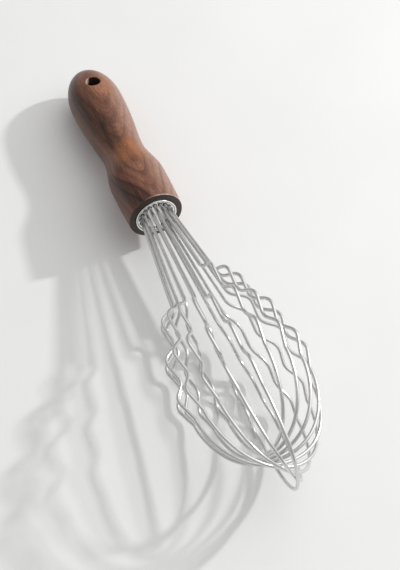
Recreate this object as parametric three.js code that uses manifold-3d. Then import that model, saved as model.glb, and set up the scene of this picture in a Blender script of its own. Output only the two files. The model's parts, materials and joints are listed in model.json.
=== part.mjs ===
// Balloon whisk lying on a counter, in millimetres, +Z up.
// A turned wooden handle with a hanging hole takes a steel ferrule in its front end. The ferrule
// holds a drilled plate that spaces the wires and a resin core that grips their ends, and loops
// of stainless wire, bent in steps on each side, nest one inside the other at the tip.
// The pieces are built along +X with x = 0 on the handle's front face, then laid on z = 0.
import * as THREE from "three";
import { mergeVertices } from "three/addons/utils/BufferGeometryUtils.js";
import Module from "manifold-3d";

// Handle
const HANDLE_LENGTH = 122;
const FRONT_RADIUS = 15.3;
const FRONT_CHAMFER = 0.4;
const BELLY_RADIUS = 16;
const BELLY_FROM_FRONT = 27;
const WAIST_RADIUS = 12.4;
const WAIST_FROM_FRONT = 50.5;
const SWELL_RADIUS = 15.6;
const SWELL_FROM_BUTT = 26;
const HANG_HOLE_DIAMETER = 8;
const HANG_HOLE_FROM_BUTT = 22.6;

// How far each curve of the handle's outline runs level at its ends, as a share of its length
const FRONT_EASE = 0.6;
const NECK_EASES = [0.35, 0.4];
const GRIP_EASES = [0.22, 0.53];

// Ferrule, plate and core
const FERRULE_RADIUS = 11.7;
const FERRULE_WALL = 0.8;
const FERRULE_DEPTH = 26;
const FERRULE_PROUD = 0.9;
const FERRULE_CHAMFER = 0.3;
const PLATE_THICKNESS = 2;
const PLATE_RECESS = 0.4;
const SEAT_CLEARANCE = 0.3;

// Wire loops: the first loop lies innermost at the tip and the last one outermost
const LOOP_COUNT = 9;
const FIRST_LOOP_ANGLE = 75;
const WIRE_DIAMETER = 1.8;
const WIRE_CLEARANCE = 0.3;
const WIRE_CIRCLE_RADIUS = 8.7;
const LEG_BEND_FROM_PLATE = 3;
const FIRST_TIP_FROM_FRONT = 153;
const TIP_SPACING = 2.75;
const TIP_ROUNDING = 25;
const TIP_EASE = 8;

// Steps of a wire's side: each rises from a valley to a crest and falls slowly to the next valley
const FIRST_WAVE_FROM_FRONT = 54;
const WAVE_SPACING = 2.45;
const WAVE_PITCH = 21.5;
const WAVE_BEND_RADIUS = 7;
const VALLEY_RADII = [15.1, 23.1, 28.7, 30.8];
const CREST_RADII = [25, 32.3, 35.2];
const RISE_RUNS = [4.5, 7, 9];

// Facets
const TURNED_FACETS = 36;
const HOLE_FACETS = 24;
const DRILL_FACETS = 12;
const WIRE_FACETS = 6;
const CURVE_STEPS = 6;
const BEND_STEPS = 3;
const TIP_STEPS = 10;

// Materials, one for each kind of piece
const walnut = { color: 0x6b4433, roughness: 0.55, metalness: 0 };
const satinSteel = { color: 0xb9b7b3, roughness: 0.3, metalness: 1 };
const brushedSteel = { color: 0xc9c7c2, roughness: 0.4, metalness: 1 };
const resin = { color: 0x8f8d88, roughness: 0.6, metalness: 0 };

const wasm = await Module();
wasm.setup();

const degrees = THREE.MathUtils.degToRad;
const point = (along, radius) => new THREE.Vector2(along, radius);

function piece(name, geometry, look) {
  const mesh = new THREE.Mesh(geometry, new THREE.MeshStandardMaterial(look));
  mesh.name = name;
  return mesh;
}

// Turn a profile of (distance along the axis, radius) points about the X axis
function turned(profile) {
  const lathePoints = profile.map(({ x, y }) => new THREE.Vector2(y, x));
  return new THREE.LatheGeometry(lathePoints, TURNED_FACETS).rotateZ(-Math.PI / 2);
}

// Weld a geometry's vertices, drop the slivers at its poles and make it a solid for cutting
function toSolid(geometry) {
  geometry.deleteAttribute("normal");
  geometry.deleteAttribute("uv");
  const welded = mergeVertices(geometry, 1e-4);
  const corners = welded.index.array;
  const triangles = [];
  for (let i = 0; i < corners.length; i += 3) {
    const [a, b, c] = corners.subarray(i, i + 3);
    if (a !== b && b !== c && c !== a) triangles.push(a, b, c);
  }
  return new wasm.Manifold(new wasm.Mesh({
    numProp: 3,
    vertProperties: new Float32Array(welded.attributes.position.array),
    triVerts: new Uint32Array(triangles),
  }));
}

function toGeometry(solid) {
  const mesh = solid.getMesh();
  const geometry = new THREE.BufferGeometry();
  geometry.setAttribute("position", new THREE.BufferAttribute(mesh.vertProperties, 3));
  geometry.setIndex(new THREE.BufferAttribute(mesh.triVerts, 1));
  geometry.computeVertexNormals();
  return geometry;
}

// Handle: turned from one piece of wood, bored for the ferrule and drilled across near its butt
function handle() {
  const bore = FERRULE_RADIUS + SEAT_CLEARANCE;
  const boreDepth = FERRULE_DEPTH + SEAT_CLEARANCE;
  const belly = point(-BELLY_FROM_FRONT, BELLY_RADIUS);
  const waist = point(-WAIST_FROM_FRONT, WAIST_RADIUS);
  const swell = point(SWELL_FROM_BUTT - HANDLE_LENGTH, SWELL_RADIUS);
  const rim = point(-FRONT_CHAMFER, FRONT_RADIUS);
  const bellyToWaist = WAIST_FROM_FRONT - BELLY_FROM_FRONT;
  const waistToSwell = waist.x - swell.x;
  const along = (from, distance) => point(from.x - distance, from.y);
  const front = new THREE.QuadraticBezierCurve(
    rim, along(belly, -FRONT_EASE * BELLY_FROM_FRONT), belly);
  const neck = new THREE.CubicBezierCurve(
    belly,
    along(belly, NECK_EASES[0] * bellyToWaist),
    along(waist, -NECK_EASES[1] * bellyToWaist),
    waist);
  const grip = new THREE.CubicBezierCurve(
    waist,
    along(waist, GRIP_EASES[0] * waistToSwell),
    along(swell, -GRIP_EASES[1] * waistToSwell),
    swell);
  const dome = new THREE.EllipseCurve(
    swell.x, 0, SWELL_FROM_BUTT, SWELL_RADIUS, Math.PI / 2, Math.PI, false);
  const profile = [
    point(-boreDepth, 0),
    point(-boreDepth, bore),
    point(0, bore),
    point(0, FRONT_RADIUS - FRONT_CHAMFER),
    ...front.getPoints(CURVE_STEPS),
    ...neck.getPoints(CURVE_STEPS).slice(1),
    ...grip.getPoints(CURVE_STEPS).slice(1),
    ...dome.getPoints(CURVE_STEPS).slice(1, -1),
    point(-HANDLE_LENGTH, 0),
  ];
  const drillLength = 4 * SWELL_RADIUS;
  const drill = new THREE.CylinderGeometry(
    HANG_HOLE_DIAMETER / 2, HANG_HOLE_DIAMETER / 2, drillLength, HOLE_FACETS);
  drill.rotateX(Math.PI / 2).translate(HANG_HOLE_FROM_BUTT - HANDLE_LENGTH, 0, 0);
  const blank = toSolid(turned(profile.reverse()));
  return piece("handle", toGeometry(blank.subtract(toSolid(drill))), walnut);
}

// Ferrule: a sleeve glued into the bore, its chamfered lip standing just out of the wood
function ferrule() {
  const inner = FERRULE_RADIUS - FERRULE_WALL;
  const profile = [
    point(-FERRULE_DEPTH, inner),
    point(-FERRULE_DEPTH, FERRULE_RADIUS),
    point(FERRULE_PROUD - FERRULE_CHAMFER, FERRULE_RADIUS),
    point(FERRULE_PROUD, FERRULE_RADIUS - FERRULE_CHAMFER),
    point(FERRULE_PROUD, inner),
    point(-FERRULE_DEPTH, inner),
  ];
  return piece("ferrule", turned(profile), satinSteel);
}

const plateFront = FERRULE_PROUD - PLATE_RECESS;
const coreFront = plateFront - PLATE_THICKNESS - SEAT_CLEARANCE;

function legAngle(strand) {
  return degrees(FIRST_LOOP_ANGLE) + strand * Math.PI / LOOP_COUNT;
}

// A disc that fits inside the ferrule, drilled along X for every wire leg
function drilledDisc(front, thickness) {
  const outline = new THREE.Shape();
  const radius = FERRULE_RADIUS - FERRULE_WALL - SEAT_CLEARANCE;
  const arcs = TURNED_FACETS / DRILL_FACETS;
  for (let i = 0; i < arcs; i += 1) {
    const turn = 2 * Math.PI / arcs;
    outline.absarc(0, 0, radius, i * turn, (i + 1) * turn);
  }
  for (let strand = 0; strand < 2 * LOOP_COUNT; strand += 1) {
    const angle = legAngle(strand);
    const centre = point(Math.cos(angle), Math.sin(angle)).multiplyScalar(WIRE_CIRCLE_RADIUS);
    const drilling = WIRE_DIAMETER / 2 + WIRE_CLEARANCE;
    const hole = new THREE.Path().absarc(centre.x, centre.y, drilling, 0, 2 * Math.PI, true);
    outline.holes.push(hole);
  }
  const settings = { depth: thickness, bevelEnabled: false, curveSegments: DRILL_FACETS / 2 };
  const disc = new THREE.ExtrudeGeometry(outline, settings);
  const alongAxis = new THREE.Matrix4().makeBasis(
    new THREE.Vector3(0, 1, 0), new THREE.Vector3(0, 0, 1), new THREE.Vector3(1, 0, 0));
  return disc.applyMatrix4(alongAxis).translate(front - thickness, 0, 0);
}

function plate() {
  return piece("wire_plate", drilledDisc(plateFront, PLATE_THICKNESS), brushedSteel);
}

function core() {
  return piece("resin_core", drilledDisc(coreFront, coreFront + FERRULE_DEPTH), resin);
}

// A line through its own points, one section of the wire at each of them
class WireLine extends THREE.Curve {
  constructor(points) {
    super();
    this.points = points;
  }

  getPoint(share, target = new THREE.Vector3()) {
    const place = share * (this.points.length - 1);
    const index = Math.min(Math.floor(place), this.points.length - 2);
    return target.lerpVectors(this.points[index], this.points[index + 1], place - index);
  }

  getTangent(share, target = new THREE.Vector3()) {
    const last = this.points.length - 1;
    const index = Math.round(share * last);
    const here = this.points[index];
    const before = here.clone().sub(this.points[Math.max(index - 1, 0)]).normalize();
    const after = this.points[Math.min(index + 1, last)].clone().sub(here).normalize();
    return target.addVectors(before, after).normalize();
  }

  getPointAt(share, target) {
    return this.getPoint(share, target);
  }

  getTangentAt(share, target) {
    return this.getTangent(share, target);
  }
}

// One side of a loop in its plane, from the wire's end in the core to the tip on the axis
function wireSide(loop) {
  const legBend = plateFront + LEG_BEND_FROM_PLATE;
  const waveStart = FIRST_WAVE_FROM_FRONT + loop * WAVE_SPACING;
  const corners = [point(-FERRULE_DEPTH, WIRE_CIRCLE_RADIUS), point(legBend, WIRE_CIRCLE_RADIUS)];
  CREST_RADII.forEach((crest, wave) => {
    const valley = waveStart + wave * WAVE_PITCH;
    corners.push(point(valley, VALLEY_RADII[wave]));
    corners.push(point(valley + RISE_RUNS[wave], crest));
  });
  const lastWave = CREST_RADII.length;
  const shoulder = point(waveStart + lastWave * WAVE_PITCH, VALLEY_RADII[lastWave]);
  const level = point(shoulder.x + TIP_EASE, shoulder.y);
  corners.push(shoulder, level);

  const side = [corners[0]];
  for (let i = 1; i < corners.length - 1; i += 1) {
    const back = corners[i - 1].clone().sub(corners[i]).normalize();
    const ahead = corners[i + 1].clone().sub(corners[i]).normalize();
    const halfTurn = (Math.PI - Math.acos(THREE.MathUtils.clamp(back.dot(ahead), -1, 1))) / 2;
    const cut = WAVE_BEND_RADIUS * Math.tan(halfTurn);
    const bend = new THREE.QuadraticBezierCurve(
      corners[i].clone().addScaledVector(back, cut),
      corners[i],
      corners[i].clone().addScaledVector(ahead, cut));
    side.push(...bend.getPoints(BEND_STEPS));
  }
  const tip = FIRST_TIP_FROM_FRONT + loop * TIP_SPACING;
  const nose = new THREE.CubicBezierCurve(
    side.at(-1), level, point(tip, TIP_ROUNDING), point(tip, 0));
  return [...side, ...nose.getPoints(TIP_STEPS).slice(1)];
}

// Loop: one wire in a plane through the axis, its two sides mirror images
function wireLoop(loop) {
  const side = wireSide(loop);
  const mirrored = side.slice(0, -1).reverse().map(({ x, y }) => point(x, -y));
  const angle = legAngle(-loop);
  const line = [...side, ...mirrored].map(({ x, y }) =>
    new THREE.Vector3(x, y * Math.cos(angle), y * Math.sin(angle)));
  const section = new THREE.Shape();
  section.absarc(0, 0, WIRE_DIAMETER / 2, 0, 2 * Math.PI);
  const geometry = new THREE.ExtrudeGeometry(section, {
    curveSegments: WIRE_FACETS / 2,
    steps: line.length - 1,
    extrudePath: new WireLine(line),
  });
  return piece(`wire_loop_${loop + 1}`, geometry, satinSteel);
}

// Height of a piece's lowest vertex after a roll about the whisk's axis and a tilt of its tip
function lowest(mesh, roll, tilt) {
  const { array } = mesh.geometry.attributes.position;
  let least = Infinity;
  for (let i = 0; i < array.length; i += 3) {
    const upright = array[i + 1] * Math.sin(roll) + array[i + 2] * Math.cos(roll);
    least = Math.min(least, array[i] * Math.sin(tilt) + upright * Math.cos(tilt));
  }
  return least;
}

// Angle where a falling difference changes sign
function balance(low, high, difference) {
  const halvings = 40;
  for (let i = 0; i < halvings; i += 1) {
    const middle = (low + high) / 2;
    if (difference(middle) > 0) low = middle;
    else high = middle;
  }
  return (low + high) / 2;
}

const wood = handle();
const loops = Array.from({ length: LOOP_COUNT }, (_, loop) => wireLoop(loop));
const whisk = new THREE.Group();
whisk.add(wood, ferrule(), plate(), core(), ...loops);

// At rest the whisk lies on the butt of its handle and on two neighbouring wires, which belong
// to the first and the last loop, so both wires and the handle come down to the same height
const steepestTilt = degrees(20);
const widestRoll = Math.PI / LOOP_COUNT / 2;
const [innermost, outermost] = [loops[0], loops.at(-1)];
const restTilt = (roll) => balance(0, steepestTilt, (tilt) =>
  lowest(wood, roll, tilt) - Math.min(lowest(innermost, roll, tilt), lowest(outermost, roll, tilt)));
const restRoll = balance(-widestRoll, widestRoll, (roll) =>
  lowest(innermost, roll, restTilt(roll)) - lowest(outermost, roll, restTilt(roll)));
whisk.rotation.set(restRoll, -restTilt(restRoll), 0, "YXZ");
whisk.updateMatrixWorld(true);
const box = new THREE.Box3().setFromObject(whisk, true);
const middle = box.getCenter(new THREE.Vector3());
whisk.position.set(-middle.x, -middle.y, -box.min.z);

export default whisk;
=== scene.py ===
import json
import math

import bmesh
import bpy
from mathutils import Matrix, Vector
from mathutils.geometry import interpolate_bezier


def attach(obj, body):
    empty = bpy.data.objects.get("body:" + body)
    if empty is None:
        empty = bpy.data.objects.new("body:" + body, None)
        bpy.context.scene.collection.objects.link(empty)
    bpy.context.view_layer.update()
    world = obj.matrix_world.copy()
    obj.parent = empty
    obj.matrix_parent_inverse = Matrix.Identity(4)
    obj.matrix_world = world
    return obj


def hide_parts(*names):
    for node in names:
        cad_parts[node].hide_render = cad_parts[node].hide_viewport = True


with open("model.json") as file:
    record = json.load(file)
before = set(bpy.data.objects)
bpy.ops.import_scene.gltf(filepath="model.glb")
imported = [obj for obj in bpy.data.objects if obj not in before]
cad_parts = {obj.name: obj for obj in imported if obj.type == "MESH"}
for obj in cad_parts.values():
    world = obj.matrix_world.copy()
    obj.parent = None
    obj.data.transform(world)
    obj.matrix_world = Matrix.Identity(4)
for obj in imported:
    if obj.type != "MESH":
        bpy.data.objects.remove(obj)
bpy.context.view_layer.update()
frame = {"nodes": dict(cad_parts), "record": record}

scene = bpy.context.scene

# Handle: one piece of walnut, turned on a lathe, sanded and oiled. Its front end is bored for
# the ferrule, and a hole is drilled across near the butt so that the whisk hangs on a hook.
handle_length = 0.122
front_radius, front_round = 0.0153, 0.0005
bore_radius, bore_depth = 0.012, 0.0263
belly_radius, belly_from_front = 0.016, 0.027
waist_radius, waist_from_front = 0.0124, 0.0505
swell_radius, swell_from_butt = 0.0156, 0.026
hang_hole_radius, hang_hole_from_butt = 0.004, 0.0226
hang_hole_round = 0.0007
hang_hole_from_front = handle_length - hang_hole_from_butt
drill_radius = hang_hole_radius + hang_hole_round
drill_length = 4 * swell_radius

# How far the curves of the outline reach, and how finely the round forms are cut
front_ease = 0.6
neck_eases = 0.35, 0.4
grip_eases = 0.22, 0.53
ellipse_ease = 0.5523
corner_pull = 2 / 3
curve_steps = 20
turned_facets = 96
hole_facets = 48
round_steps = 4
hole_rim_steps = 5
crease_angle = math.radians(35)
same_place = 1e-6
hole_wall_slack = 2e-5
drilled_weld = 5e-5

# The whisk's own frame: X along its axis from the handle's front face to the wire tip, and Z
# along the hanging hole
mounts = {mount["name"]: mount for mount in frame["record"]["mounts"]}
along = Vector(mounts["handle_front"]["axis"])
upright = Vector(mounts["hang_hole"]["axis"])
front_centre = Vector(mounts["hang_hole"]["pos_m"]) + along * hang_hole_from_front
whisk_place = Matrix((along, upright.cross(along), upright)).transposed().to_4x4()
whisk_place.translation = front_centre


def turned(profile):
    """Spin a line of (distance along the axis, radius) points about the whisk's axis."""
    shape = bmesh.new()
    line = [shape.verts.new((x, 0, radius)) for x, radius in profile]
    edges = [shape.edges.new(pair) for pair in zip(line, line[1:])]
    bmesh.ops.spin(shape, geom=line + edges, cent=(0, 0, 0), axis=(1, 0, 0),
                   angle=2 * math.pi, steps=turned_facets, use_merge=True)
    bmesh.ops.remove_doubles(shape, verts=shape.verts, dist=same_place)
    bmesh.ops.recalc_face_normals(shape, faces=shape.faces)
    return shape


def ring_edges(shape, x, radius):
    """The edges of a turned shape that lie on one circle about the axis."""
    def on_ring(vert):
        from_axis = math.hypot(vert.co.y, vert.co.z)
        return abs(vert.co.x - x) < same_place and abs(from_axis - radius) < same_place
    return [edge for edge in shape.edges if all(on_ring(vert) for vert in edge.verts)]


def round_over(shape, edges, width):
    """Round sharp edges of a turned shape."""
    bmesh.ops.bevel(shape, geom=edges, offset=width, offset_type="OFFSET", affect="EDGES",
                    segments=round_steps, profile=0.5, material=-1, clamp_overlap=False)


def finish_piece(name, shape, material, node):
    """Lay a shape where the whisk lies and let it stand for its CAD node."""
    shape.transform(whisk_place)
    for face in shape.faces:
        face.smooth = True
    for edge in shape.edges:
        edge.smooth = edge.is_manifold and edge.calc_face_angle() < crease_angle
    mesh = bpy.data.meshes.new(name)
    shape.to_mesh(mesh)
    shape.free()
    mesh.materials.append(material)
    piece = bpy.data.objects.new(name, mesh)
    scene.collection.objects.link(piece)
    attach(piece, "root")
    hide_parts(node)


def handle_outline():
    """The turned outline from the front rim to the butt: front, neck, grip and domed butt."""
    front = Vector((0, front_radius))
    belly = Vector((-belly_from_front, belly_radius))
    waist = Vector((-waist_from_front, waist_radius))
    swell = Vector((swell_from_butt - handle_length, swell_radius))
    butt = Vector((-handle_length, 0))
    neck = Vector((belly.x - waist.x, 0))
    grip = Vector((waist.x - swell.x, 0))
    front_pull = Vector((belly.x * (1 - front_ease), belly_radius))
    dome = Vector((swell_from_butt * ellipse_ease, 0))
    dome_end = Vector((0, swell_radius * ellipse_ease))
    curves = [
        (front, front.lerp(front_pull, corner_pull), belly.lerp(front_pull, corner_pull), belly),
        (belly, belly - neck * neck_eases[0], waist + neck * neck_eases[1], waist),
        (waist, waist - grip * grip_eases[0], swell + grip * grip_eases[1], swell),
        (swell, swell - dome, butt + dome_end, butt),
    ]
    outline = [front]
    for curve in curves:
        outline += interpolate_bezier(*curve, curve_steps)[1:]
    return outline


blank = turned([(-bore_depth, 0), (-bore_depth, bore_radius), (0, bore_radius), *handle_outline()])
round_over(blank, ring_edges(blank, 0, front_radius), front_round)
handle_mesh = bpy.data.meshes.new("handle_blank")
blank.to_mesh(handle_mesh)
blank.free()
handle_blank = bpy.data.objects.new("handle_blank", handle_mesh)
scene.collection.objects.link(handle_blank)

drill = bmesh.new()
bmesh.ops.create_cone(drill, cap_ends=True, segments=hole_facets, radius1=drill_radius,
                      radius2=drill_radius, depth=drill_length)
bmesh.ops.translate(drill, verts=drill.verts, vec=(-hang_hole_from_front, 0, 0))
drill_mesh = bpy.data.meshes.new("drill")
drill.to_mesh(drill_mesh)
drill.free()
drill_bit = bpy.data.objects.new("drill", drill_mesh)
scene.collection.objects.link(drill_bit)

drilling = handle_blank.modifiers.new("drilling", "BOOLEAN")
drilling.operation = "DIFFERENCE"
drilling.solver = "EXACT"
drilling.object = drill_bit
drilled = handle_blank.evaluated_get(bpy.context.evaluated_depsgraph_get())
handle = bmesh.new()
handle.from_mesh(drilled.to_mesh())
bpy.data.objects.remove(handle_blank)
bpy.data.objects.remove(drill_bit)


def in_hole_wall(vert):
    """Whether a point of the drilled handle lies on the wall that the drill cut."""
    from_hole = math.hypot(vert.co.x + hang_hole_from_front, vert.co.y)
    return abs(from_hole - drill_radius) < hole_wall_slack


# The drill is as wide as the rounded rims, which are then drawn in to the hole's own width
bmesh.ops.remove_doubles(handle, verts=handle.verts, dist=drilled_weld)
wall = [face for face in handle.faces if all(in_hole_wall(vert) for vert in face.verts)]
bmesh.ops.delete(handle, geom=wall, context="FACES")
to_hole = Matrix.Translation((hang_hole_from_front, 0, 0))
open_edges = [edge for edge in handle.edges if edge.is_boundary]
hole_rims = []
for side in (1, -1):
    rim = [edge for edge in open_edges if edge.verts[0].co.z * side > 0]
    width, depth = drill_radius, 0
    for step in range(1, hole_rim_steps + 1):
        angle = step / hole_rim_steps * math.pi / 2
        next_width = hang_hole_radius + hang_hole_round * (1 - math.sin(angle))
        next_depth = hang_hole_round * (1 - math.cos(angle))
        grown = bmesh.ops.extrude_edge_only(handle, edges=rim)["geom"]
        verts = [item for item in grown if isinstance(item, bmesh.types.BMVert)]
        rim = [item for item in grown if isinstance(item, bmesh.types.BMEdge)
               and all(vert in verts for vert in item.verts)]
        narrowing = next_width / width
        bmesh.ops.scale(handle, vec=(narrowing, narrowing, 1), space=to_hole, verts=verts)
        bmesh.ops.translate(handle, vec=(0, 0, side * (depth - next_depth)), verts=verts)
        width, depth = next_width, next_depth
    hole_rims += rim
bmesh.ops.bridge_loops(handle, edges=hole_rims)
bmesh.ops.recalc_face_normals(handle, faces=handle.faces)


def add_node(tree, kind, inputs, **settings):
    """Add a node, with each input set to a value or linked to another node's output."""
    node = tree.nodes.new(kind)
    for name, value in settings.items():
        setattr(node, name, value)
    for key, value in inputs.items():
        if isinstance(value, bpy.types.NodeSocket):
            tree.links.new(value, node.inputs[key])
        else:
            node.inputs[key].default_value = value
    return node


def new_material(name):
    """A material with a bare Principled shader, its tree and that shader."""
    material = bpy.data.materials.new(name)
    material.use_nodes = True
    return material, material.node_tree, material.node_tree.nodes["Principled BSDF"]


def whisk_coordinates(tree):
    """Millimetres in the whisk's own frame."""
    place = add_node(tree, "ShaderNodeTexCoord", {}).outputs["Object"]
    return add_node(tree, "ShaderNodeMapping", {
        "Vector": place, "Location": front_centre, "Rotation": whisk_place.to_euler(),
        "Scale": (0.001, 0.001, 0.001)}, vector_type="TEXTURE").outputs["Vector"]


def calculate(tree, operation, *values):
    """The result of a Math node."""
    return add_node(tree, "ShaderNodeMath", dict(enumerate(values)), operation=operation).outputs[0]


def distance(tree, across, up):
    """The distance between two points, from its parts across and up."""
    up_squared = calculate(tree, "POWER", up, 2)
    return calculate(tree, "SQRT", calculate(tree, "MULTIPLY_ADD", across, across, up_squared))


def ease(tree, value, low, high, start=0, end=1):
    """Take a value smoothly from one range to another."""
    return add_node(tree, "ShaderNodeMapRange", {
        "Value": value, "From Min": low, "From Max": high, "To Min": start, "To Max": end},
        interpolation_type="SMOOTHSTEP").outputs["Result"]


def blend(tree, factor, first, second, mode="MIX"):
    """Mix two colours. A Mix node's colour sockets come after its number and vector sockets."""
    return add_node(tree, "ShaderNodeMix", {0: factor, 6: first, 7: second}, data_type="RGBA",
                    blend_type=mode).outputs[2]


def noise(tree, place, stretch, detail=2):
    """Soft random values about 0.5, with their size along each axis set by the stretch."""
    scaled = add_node(tree, "ShaderNodeMapping", {"Vector": place, "Scale": stretch})
    return add_node(tree, "ShaderNodeTexNoise", {
        "Vector": scaled.outputs["Vector"], "Scale": 1, "Detail": detail}).outputs[0]


# Walnut: growth layers lie along the grip and rise towards the front, where the lathe cut them
# into nested arcs. A dark streak runs along the left of the grip, and the waist is cut into
# orange heartwood. Lengths here are in millimetres, and left and right are as the camera sees them.
brown, light_brown = (0.225, 0.086, 0.048, 1), (0.325, 0.14, 0.082, 1)
painted_sheen_right_flank = 0.44, 0.268, 0.203, 1
painted_shade_left_flank = 0.55, 0.39, 0.3, 1
butt_orange, waist_orange = (0.43, 0.19, 0.1, 1), (0.46, 0.172, 0.067, 1)
grip_streak, front_streak = (0.05, 0.02, 0.01, 1), (0.058, 0.024, 0.013, 1)
late_wood_tint, fine_ring_tint = (0.36, 0.32, 0.3, 1), (0.45, 0.4, 0.38, 1)
fibre_tint, pore_tint = (0.45, 0.41, 0.39, 1), (0.4, 0.37, 0.36, 1)
worn_and_highlight_wood, painted_hole_light_wood = (0.55, 0.42, 0.36, 1), (0.5, 0.37, 0.3, 1)
oiled_end_grain_and_hole_shade = 0.035, 0.021, 0.016, 1
layer_slope = 0.1
front_slope, front_slope_length = 0.13, 45
arch_middle, arch_half_width, arch_drop = 0.8, 7, 1.2
layer_wander, streak_wander, patch_wander = 6, 4, 0.6
year_width, fine_year_width = 3, 0.77
hole_radius_mm = 1000 * hang_hole_radius

walnut, tree, shader = new_material("oiled_walnut")
place = whisk_coordinates(tree)
axes = add_node(tree, "ShaderNodeSeparateXYZ", {"Vector": place}).outputs
x, y, z = axes["X"], axes["Y"], axes["Z"]
drift = noise(tree, place, (0.03, 0.09, 0.09))
bands = noise(tree, place, (0.02, 0.5, 0.5))
near_front = calculate(tree, "MAXIMUM", calculate(tree, "ADD", x, front_slope_length), 0)
rise = calculate(tree, "MULTIPLY", x, layer_slope)
rise = calculate(tree, "MULTIPLY_ADD", near_front, front_slope, rise)
from_middle = calculate(tree, "ABSOLUTE", calculate(tree, "SUBTRACT", y, arch_middle))
arch = ease(tree, from_middle, 0, arch_half_width, 0, arch_drop)
layer = calculate(tree, "SUBTRACT", calculate(tree, "SUBTRACT", z, rise), arch)
wander = noise(tree, place, (0.03, 0.07, 0.07), 0)
layer = calculate(tree, "MULTIPLY_ADD", wander, layer_wander, layer)


def streak(centre_x, centre_z, slope, half_length, half_width):
    """A soft-edged streak on the left of the handle, rising towards the front."""
    run = calculate(tree, "SUBTRACT", x, centre_x)
    rise = calculate(tree, "SUBTRACT", z, calculate(tree, "MULTIPLY_ADD", run, slope, centre_z))
    rise = calculate(tree, "SUBTRACT", rise, streak_wander / 2)
    rise = calculate(tree, "MULTIPLY_ADD", drift, streak_wander, rise)
    spread = calculate(tree, "POWER", calculate(tree, "DIVIDE", run, half_length), 2)
    height = calculate(tree, "POWER", calculate(tree, "DIVIDE", rise, half_width), 2)
    inside = ease(tree, calculate(tree, "ADD", spread, height), 1.4, 0)
    inside = calculate(tree, "MULTIPLY", inside, ease(tree, y, 2, -5))
    return calculate(tree, "MULTIPLY", inside, ease(tree, bands, 0.35, 0.6, 0.55, 1))


def patch(centre, radii):
    """A soft-edged patch about a point."""
    from_centre = add_node(tree, "ShaderNodeMapping", {
        "Vector": place, "Location": centre, "Scale": radii}, vector_type="TEXTURE")
    from_centre = add_node(tree, "ShaderNodeVectorMath", {0: from_centre.outputs["Vector"]},
                           operation="LENGTH").outputs["Value"]
    from_centre = calculate(tree, "MULTIPLY_ADD", drift, patch_wander, from_centre)
    return ease(tree, from_centre, 1.4, 0.7)


clouds = noise(tree, place, (0.03, 0.12, 0.12), 3)
wood = blend(tree, ease(tree, clouds, 0.35, 0.65), brown, light_brown)
# The right flank, which faces the lamp, is painted lighter: painted sheen and light.
wood = blend(tree, ease(tree, y, 1, 10, 0, 0.7), wood, painted_sheen_right_flank)
# The left flank, away from the lamp, is painted darker: painted shade.
wood = blend(tree, ease(tree, y, -4, -12, 0, 0.65), wood, painted_shade_left_flank, "MULTIPLY")
butt_heart = patch(centre=(-95, 4, 15), radii=(12, 8, 7))
wood = blend(tree, butt_heart, wood, butt_orange)
waist_heart = patch(centre=(-40, -0.8, 12.5), radii=(15, 10.5, 8))
wood = blend(tree, waist_heart, wood, waist_orange)
along_grip = streak(centre_x=-76, centre_z=9.6, slope=0.1, half_length=40, half_width=5.5)
wood = blend(tree, along_grip, wood, grip_streak)
along_front = streak(centre_x=-12, centre_z=10.5, slope=0.2, half_length=22, half_width=3.6)
wood = blend(tree, along_front, wood, front_streak)

# Each year's layer ends in dark late wood, more of it in some years than in others
year = calculate(tree, "DIVIDE", layer, year_width)
ring = calculate(tree, "FRACT", year)
late_wood = calculate(tree, "MULTIPLY", ease(tree, ring, 1, 0.85), ease(tree, ring, 0.35, 0.85))
dry_year = add_node(tree, "ShaderNodeTexWhiteNoise", {"W": calculate(tree, "FLOOR", year)},
                    noise_dimensions="1D").outputs["Value"]
late_wood = calculate(tree, "MULTIPLY", late_wood, ease(tree, dry_year, 0, 1, 0.5, 1.2))
late_wood = calculate(tree, "MULTIPLY", late_wood, ease(tree, x, -48, -22, 0.45, 0.72))
late_wood = calculate(tree, "MULTIPLY", late_wood, ease(tree, waist_heart, 0, 1, 1, 0.7))
late_wood = calculate(tree, "MULTIPLY", late_wood, ease(tree, y, 9, 0, 0.55, 1))
wood = blend(tree, late_wood, wood, late_wood_tint, "MULTIPLY")
fine_ring = calculate(tree, "FRACT", calculate(tree, "DIVIDE", layer, fine_year_width))
wood = blend(tree, ease(tree, fine_ring, 0.5, 1, 0, 0.35), wood, fine_ring_tint, "MULTIPLY")
fibres = noise(tree, place, (0.12, 2.5, 2.5))
wood = blend(tree, ease(tree, fibres, 0.3, 0.7, 0.7, 0), wood, fibre_tint, "MULTIPLY")
pores = noise(tree, place, (0.4, 6, 6), 0)
wood = blend(tree, ease(tree, pores, 0.6, 0.68, 0, 0.65), wood, pore_tint, "MULTIPLY")

# The front rim is painted pale on its right, toward the lamp: edge wear and a painted highlight.
# The cut wood of the front face takes up more oil and is dark. The drilled hole's wall is painted
# dark as painted shade, and the left of the hole's mouths, which the lamp lights, is painted pale.
worn_rim_and_highlight = calculate(tree, "MULTIPLY", ease(tree, x, -1.1, -0.45), ease(tree, y, -6, 2, 0.1, 1))
worn_rim_and_highlight = calculate(tree, "MULTIPLY", worn_rim_and_highlight, ease(tree, bands, 0.4, 0.6, 0.35, 0.75))
wood = blend(tree, worn_rim_and_highlight, wood, worn_and_highlight_wood)
from_hole = distance(tree, y, calculate(tree, "ADD", x, 1000 * hang_hole_from_front))
# The wall of the drilled hole is painted dark: painted shade inside the hole.
hole_wall_painted_shade = ease(tree, from_hole, hole_radius_mm + 0.25, hole_radius_mm + 0.05)
end_grain_and_hole_shade = calculate(tree, "MAXIMUM", ease(tree, x, -0.25, -0.08), hole_wall_painted_shade)
wood = blend(tree, end_grain_and_hole_shade, wood, oiled_end_grain_and_hole_shade)
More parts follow.
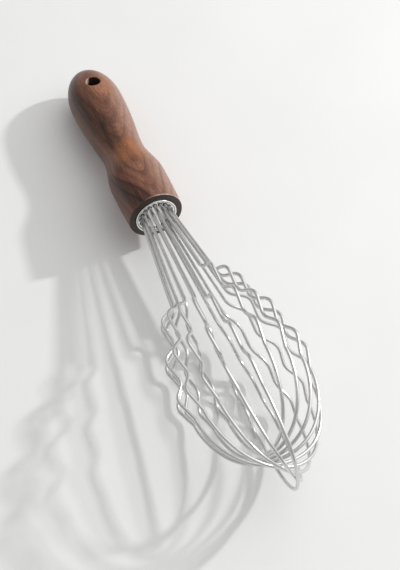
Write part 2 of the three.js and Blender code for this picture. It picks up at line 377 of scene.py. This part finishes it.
# The left of each mouth of the hole, whose wall the lamp lights, is painted pale: painted light.
at_mouth = ease(tree, calculate(tree, "ABSOLUTE", z), 10, 12)
painted_hole_light = calculate(tree, "MULTIPLY", at_mouth, ease(tree, y, -1, -3))
near_hole = ease(tree, from_hole, hole_radius_mm + 0.5, hole_radius_mm + 0.2)
painted_hole_light = calculate(tree, "MULTIPLY", painted_hole_light, near_hole)
wood = blend(tree, painted_hole_light, wood, painted_hole_light_wood)
tree.links.new(wood, shader.inputs["Base Color"])
tree.links.new(ease(tree, fibres, 0.3, 0.7, 0.3, 0.42), shader.inputs["Roughness"])
shader.inputs["Specular IOR Level"].default_value = 0.42
grain = add_node(tree, "ShaderNodeBump", {"Strength": 0.15, "Distance": 0.0001, "Height": fibres})
tree.links.new(grain.outputs["Normal"], shader.inputs["Normal"])
finish_piece("walnut_handle", handle, walnut, "handle")

# Ferrule: a stainless steel sleeve glued into the handle's bore. Its rounded lip stands just out
# of the end grain.
ferrule_radius, ferrule_wall = 0.0117, 0.0008
ferrule_depth, ferrule_proud = 0.026, 0.0009
ferrule_round = 0.0003
ferrule_bore = ferrule_radius - ferrule_wall
turned_dull, turned_bright = (0.91, 0.907, 0.9, 1), (0.98, 0.977, 0.97, 1)
ferrule = turned([
    (-ferrule_depth, ferrule_bore),
    (-ferrule_depth, ferrule_radius),
    (ferrule_proud, ferrule_radius),
    (ferrule_proud, ferrule_bore),
    (-ferrule_depth, ferrule_bore),
])
lip = ring_edges(ferrule, ferrule_proud, ferrule_radius)
lip += ring_edges(ferrule, ferrule_proud, ferrule_bore)
round_over(ferrule, lip, ferrule_round)

turned_steel, tree, shader = new_material("turned_steel")
shader.inputs["Metallic"].default_value = 1
axes = add_node(tree, "ShaderNodeSeparateXYZ", {"Vector": whisk_coordinates(tree)}).outputs
from_axis = distance(tree, axes["Y"], axes["Z"])
tool_path = add_node(tree, "ShaderNodeCombineXYZ", {"X": axes["X"], "Y": from_axis})
tool_marks = noise(tree, tool_path.outputs["Vector"], (9, 9, 9))
steel = blend(tree, tool_marks, turned_dull, turned_bright)
tree.links.new(steel, shader.inputs["Base Color"])
tree.links.new(ease(tree, tool_marks, 0.3, 0.7, 0.1, 0.22), shader.inputs["Roughness"])
finish_piece("steel_ferrule", ferrule, turned_steel, "ferrule")

# Wire plate: a stainless disc inside the ferrule's lip, drilled for every wire leg, so that the
# wires stand evenly round the ferrule.
loop_count = 9
strand_spacing = math.pi / loop_count
first_loop_angle = math.radians(75)
wire_circle_radius = 0.0087
wire_radius, wire_clearance = 0.0009, 0.0003
wire_hole_facets = 20
plate_clearance, plate_recess, plate_thickness = 0.0003, 0.0004, 0.002
plate_radius = ferrule_bore - plate_clearance
plate_front = ferrule_proud - plate_recess
tumbled_dull, tumbled_bright = (0.8, 0.796, 0.785, 1), (0.93, 0.927, 0.915, 1)
pit_shade_colour = 0.09, 0.085, 0.08, 1
plate = bmesh.new()
bmesh.ops.create_circle(plate, radius=plate_radius, segments=turned_facets)
for strand in range(2 * loop_count):
    angle = first_loop_angle + strand * strand_spacing
    centre = Vector((math.cos(angle), math.sin(angle), 0)) * wire_circle_radius
    bmesh.ops.create_circle(plate, radius=wire_radius + wire_clearance, segments=wire_hole_facets,
                            matrix=Matrix.Translation(centre))
bmesh.ops.triangle_fill(plate, use_beauty=True, edges=plate.edges)
grown = bmesh.ops.extrude_face_region(plate, geom=plate.faces[:])["geom"]
raised = [item for item in grown if isinstance(item, bmesh.types.BMVert)]
bmesh.ops.translate(plate, verts=raised, vec=(0, 0, plate_thickness))
turn_to_axis = Matrix(((0, 0, 1), (1, 0, 0), (0, 1, 0)))
bmesh.ops.transform(plate, verts=plate.verts, matrix=turn_to_axis.to_4x4())
bmesh.ops.translate(plate, verts=plate.verts, vec=(plate_front - plate_thickness, 0, 0))
bmesh.ops.recalc_face_normals(plate, faces=plate.faces)

tumbled_steel, tree, shader = new_material("tumbled_steel")
shader.inputs["Metallic"].default_value = 1
place = whisk_coordinates(tree)
mottle = noise(tree, place, (0.9, 0.9, 0.9), 4)
steel = blend(tree, ease(tree, mottle, 0.35, 0.65), tumbled_dull, tumbled_bright)

# Painted shade: the plate is darkened in the corner round each wire, where it enters its hole
axes = add_node(tree, "ShaderNodeSeparateXYZ", {"Vector": place}).outputs
from_axis = distance(tree, axes["Y"], axes["Z"])
round_axis = calculate(tree, "ARCTAN2", axes["Z"], axes["Y"])
round_axis = calculate(tree, "SUBTRACT", round_axis, first_loop_angle)
from_strand = calculate(tree, "PINGPONG", round_axis, strand_spacing / 2)
from_strand = calculate(tree, "MULTIPLY", from_strand, 1000 * wire_circle_radius)
outwards = calculate(tree, "SUBTRACT", from_axis, 1000 * wire_circle_radius)
from_wire = distance(tree, outwards, from_strand)
pit_shade_reach = calculate(tree, "MULTIPLY_ADD", mottle, 0.8, from_wire)
painted_pit_shade = ease(tree, pit_shade_reach, 2.1, 1.5, 0, 0.85)
steel = blend(tree, painted_pit_shade, steel, pit_shade_colour)
tree.links.new(steel, shader.inputs["Base Color"])
tree.links.new(ease(tree, mottle, 0.3, 0.7, 0.28, 0.14), shader.inputs["Roughness"])
finish_piece("drilled_plate", plate, tumbled_steel, "wire_plate")

# Core: the resin filler behind the plate that grips the wire ends. It is cast in place, and it
# doesn't show, so it keeps its CAD solid.
resin_dark, resin_light = (0.24, 0.235, 0.22, 1), (0.3, 0.29, 0.27, 1)
cast_resin, tree, shader = new_material("cast_resin")
clouds = noise(tree, whisk_coordinates(tree), (0.4, 0.4, 0.4), 3)
resin = blend(tree, ease(tree, clouds, 0.3, 0.7), resin_dark, resin_light)
tree.links.new(resin, shader.inputs["Base Color"])
shader.inputs["Roughness"].default_value = 0.6
frame["nodes"]["resin_core"].data.materials.clear()
frame["nodes"]["resin_core"].data.materials.append(cast_resin)

# Wire loops: stainless spring wire, each bent in one plane with three steps on each side. The
# loops nest one inside the other at the tip, the first innermost and the last outermost.
wire_facets = 16
leg_bend_from_plate = 0.003
first_tip_from_front, tip_spacing = 0.153, 0.00275
tip_rounding, tip_ease = 0.025, 0.008
first_wave_from_front, wave_spacing, wave_pitch = 0.054, 0.00245, 0.0215
wave_bend_radius = 0.007
valley_radii = 0.0151, 0.0231, 0.0287, 0.0308
crest_radii = 0.025, 0.0323, 0.0352
rise_runs = 0.0045, 0.007, 0.009
bend_steps = 7
tip_steps = 32
drawn_dull, drawn_bright = (0.66, 0.658, 0.65, 1), (0.76, 0.758, 0.75, 1)


def wire_side(loop):
    """One side of a loop in its plane, from the wire's end in the core to the tip."""
    wave_start = first_wave_from_front + loop * wave_spacing
    corners = [(-ferrule_depth, wire_circle_radius)]
    corners.append((plate_front + leg_bend_from_plate, wire_circle_radius))
    for wave, (crest, run) in enumerate(zip(crest_radii, rise_runs)):
        valley = wave_start + wave * wave_pitch
        corners.append((valley, valley_radii[wave]))
        corners.append((valley + run, crest))
    shoulder = Vector((wave_start + len(crest_radii) * wave_pitch, valley_radii[-1]))
    level = shoulder + Vector((tip_ease, 0))
    corners = [Vector(corner) for corner in corners] + [shoulder, level]
    line = [corners[0]]
    for before, corner, after in zip(corners, corners[1:], corners[2:]):
        back = (before - corner).normalized()
        ahead = (after - corner).normalized()
        cut = wave_bend_radius * math.tan((math.pi - back.angle(ahead)) / 2)
        start, end = corner + back * cut, corner + ahead * cut
        line += interpolate_bezier(start, start.lerp(corner, corner_pull),
                                   end.lerp(corner, corner_pull), end, bend_steps)
    tip = first_tip_from_front + loop * tip_spacing
    nose = line[-1], level, Vector((tip, tip_rounding)), Vector((tip, 0))
    return line + interpolate_bezier(*nose, tip_steps)[1:]


def bent_wire(loop):
    """Draw a round wire along one side of a loop, then mirror it into the other side.

    Each point keeps its place on the straight wire, along its length and about its middle.
    """
    line = [Vector((x, radius, 0)) for x, radius in wire_side(loop)]
    shape = bmesh.new()
    drawn = shape.verts.layers.float_vector.new("drawn")
    across = Matrix.Rotation(math.pi / 2, 4, "Y")
    ring = bmesh.ops.create_circle(shape, radius=wire_radius, segments=wire_facets, cap_ends=True,
                                   matrix=Matrix.Translation(line[0]) @ across)["verts"]
    for vert in ring:
        vert[drawn] = vert.co - line[0]
    edges = shape.edges[:]
    heading = Vector((1, 0, 0))
    heading_at_tip = Vector((0, -1, 0))
    length = 0
    for point, (here, there) in enumerate(zip(line, line[1:])):
        ahead = (there - here).normalized()
        beyond = line[point + 2] - there if point + 2 < len(line) else heading_at_tip
        next_heading = (ahead + beyond.normalized()).normalized()
        grown = bmesh.ops.extrude_edge_only(shape, edges=edges)["geom"]
        edges = [item for item in grown if isinstance(item, bmesh.types.BMEdge)]
        ring = [item for item in grown if isinstance(item, bmesh.types.BMVert)]
        edges = [edge for edge in edges if all(vert in ring for vert in edge.verts)]
        turn = heading.rotation_difference(next_heading).to_matrix().to_4x4()
        move = Matrix.Translation(there) @ turn @ Matrix.Translation(-here)
        bmesh.ops.transform(shape, verts=ring, matrix=move)
        length += (there - here).length
        for vert in ring:
            vert[drawn].x = length
        heading = next_heading
    for vert in ring:
        vert.co.y = 0
    bmesh.ops.mirror(shape, geom=shape.verts[:] + shape.edges[:] + shape.faces[:], axis="Y",
                     merge_dist=same_place)
    bmesh.ops.recalc_face_normals(shape, faces=shape.faces)
    angle = first_loop_angle - loop * strand_spacing
    bmesh.ops.rotate(shape, verts=shape.verts, cent=(0, 0, 0),
                     matrix=Matrix.Rotation(angle, 3, "X"))
    return shape


drawn_steel, tree, shader = new_material("drawn_steel")
shader.inputs["Metallic"].default_value = 1
straight = add_node(tree, "ShaderNodeAttribute", {}, attribute_name="drawn").outputs["Vector"]
die_marks = noise(tree, straight, (60, 2500, 2500))
steel = blend(tree, ease(tree, die_marks, 0.3, 0.7), drawn_dull, drawn_bright)
tree.links.new(steel, shader.inputs["Base Color"])
tree.links.new(ease(tree, die_marks, 0.3, 0.7, 0.19, 0.29), shader.inputs["Roughness"])
for loop in range(loop_count):
    finish_piece(f"bent_wire_{loop + 1}", bent_wire(loop), drawn_steel,
                 f"wire_loop_{loop + 1}")

# Floor: a plain pale stone counter top, faintly mottled, that the whisk lies on. It reaches
# almost to the horizon in low views.
counter_radius, counter_facets = 40, 64
stone_dark, stone_light = (0.832, 0.832, 0.824, 1), (0.852, 0.852, 0.846, 1)
floor_shape = bmesh.new()
bmesh.ops.create_circle(floor_shape, cap_ends=True, radius=counter_radius, segments=counter_facets)
floor_mesh = bpy.data.meshes.new("counter")
floor_shape.to_mesh(floor_mesh)
floor_shape.free()
floor = bpy.data.objects.new("counter", floor_mesh)
scene.collection.objects.link(floor)
counter, tree, shader = new_material("pale_counter")
place = add_node(tree, "ShaderNodeTexCoord", {}).outputs["Object"]
mottle = ease(tree, noise(tree, place, (14, 14, 14), 4), 0.3, 0.7)
stone = blend(tree, mottle, stone_dark, stone_light)
tree.links.new(stone, shader.inputs["Base Color"])
shader.inputs["Roughness"].default_value = 0.7
floor_mesh.materials.append(counter)

# Light: a small soft lamp, low on the right of the picture, in a room that is bright high on that
# side and dim elsewhere. The dim part draws the dark edges of the wires.
room_bright, room_dim = 1.56, 0.425
toward_bright = Vector((-0.067, 0.639, 0.766))
bright_edge_cosine, bright_full_cosine = 0.6, 0.98
lamp_distance = 1.4
lamp_height, lamp_side = math.radians(31), math.radians(91)
lamp_width, lamp_length = 0.06, 0.07
lamp_watts = 10
world = bpy.data.worlds.new("studio")
scene.world = world
world.use_nodes = True
tree = world.node_tree
sky = add_node(tree, "ShaderNodeTexCoord", {})
facing = add_node(tree, "ShaderNodeVectorMath", {0: sky.outputs["Generated"], 1: toward_bright},
                  operation="DOT_PRODUCT")
room = ease(tree, facing.outputs["Value"], bright_edge_cosine, bright_full_cosine, room_dim,
            room_bright)
background = tree.nodes["Background"]
background.inputs["Color"].default_value = (1, 1, 1, 1)
tree.links.new(room, background.inputs["Strength"])

lamp = bpy.data.lights.new("lamp", "AREA")
lamp.shape = "RECTANGLE"
lamp.size = lamp_width
lamp.size_y = lamp_length
lamp.energy = lamp_watts
toward_lamp = Vector((math.cos(lamp_side), math.sin(lamp_side), math.tan(lamp_height)))
toward_lamp.normalize()
lamp_stand = bpy.data.objects.new("lamp", lamp)
lamp_stand.location = toward_lamp * lamp_distance
lamp_stand.rotation_euler = toward_lamp.to_track_quat("Z", "Y").to_euler()
scene.collection.objects.link(lamp_stand)

# Camera: the photograph's view, from high above, beyond the wire tip and a little to the whisk's
# right. The lens follows from its focal length in pixels of a picture 570 pixels high.
picture_height = 570
focal_pixels = 1100
sensor_height = 36
camera_place = 0.30883, -0.11641, 0.50524
toward_camera = Vector((0.49823, -0.21125, 0.84092))
camera_data = bpy.data.cameras.new("camera")
camera_data.sensor_fit = "VERTICAL"
camera_data.sensor_height = sensor_height
camera_data.lens = sensor_height * focal_pixels / picture_height
camera = bpy.data.objects.new("camera", camera_data)
camera.location = camera_place
camera.rotation_euler = toward_camera.to_track_quat("Z", "Y").to_euler()
scene.collection.objects.link(camera)
scene.camera = camera

scene.view_settings.view_transform = "Standard"
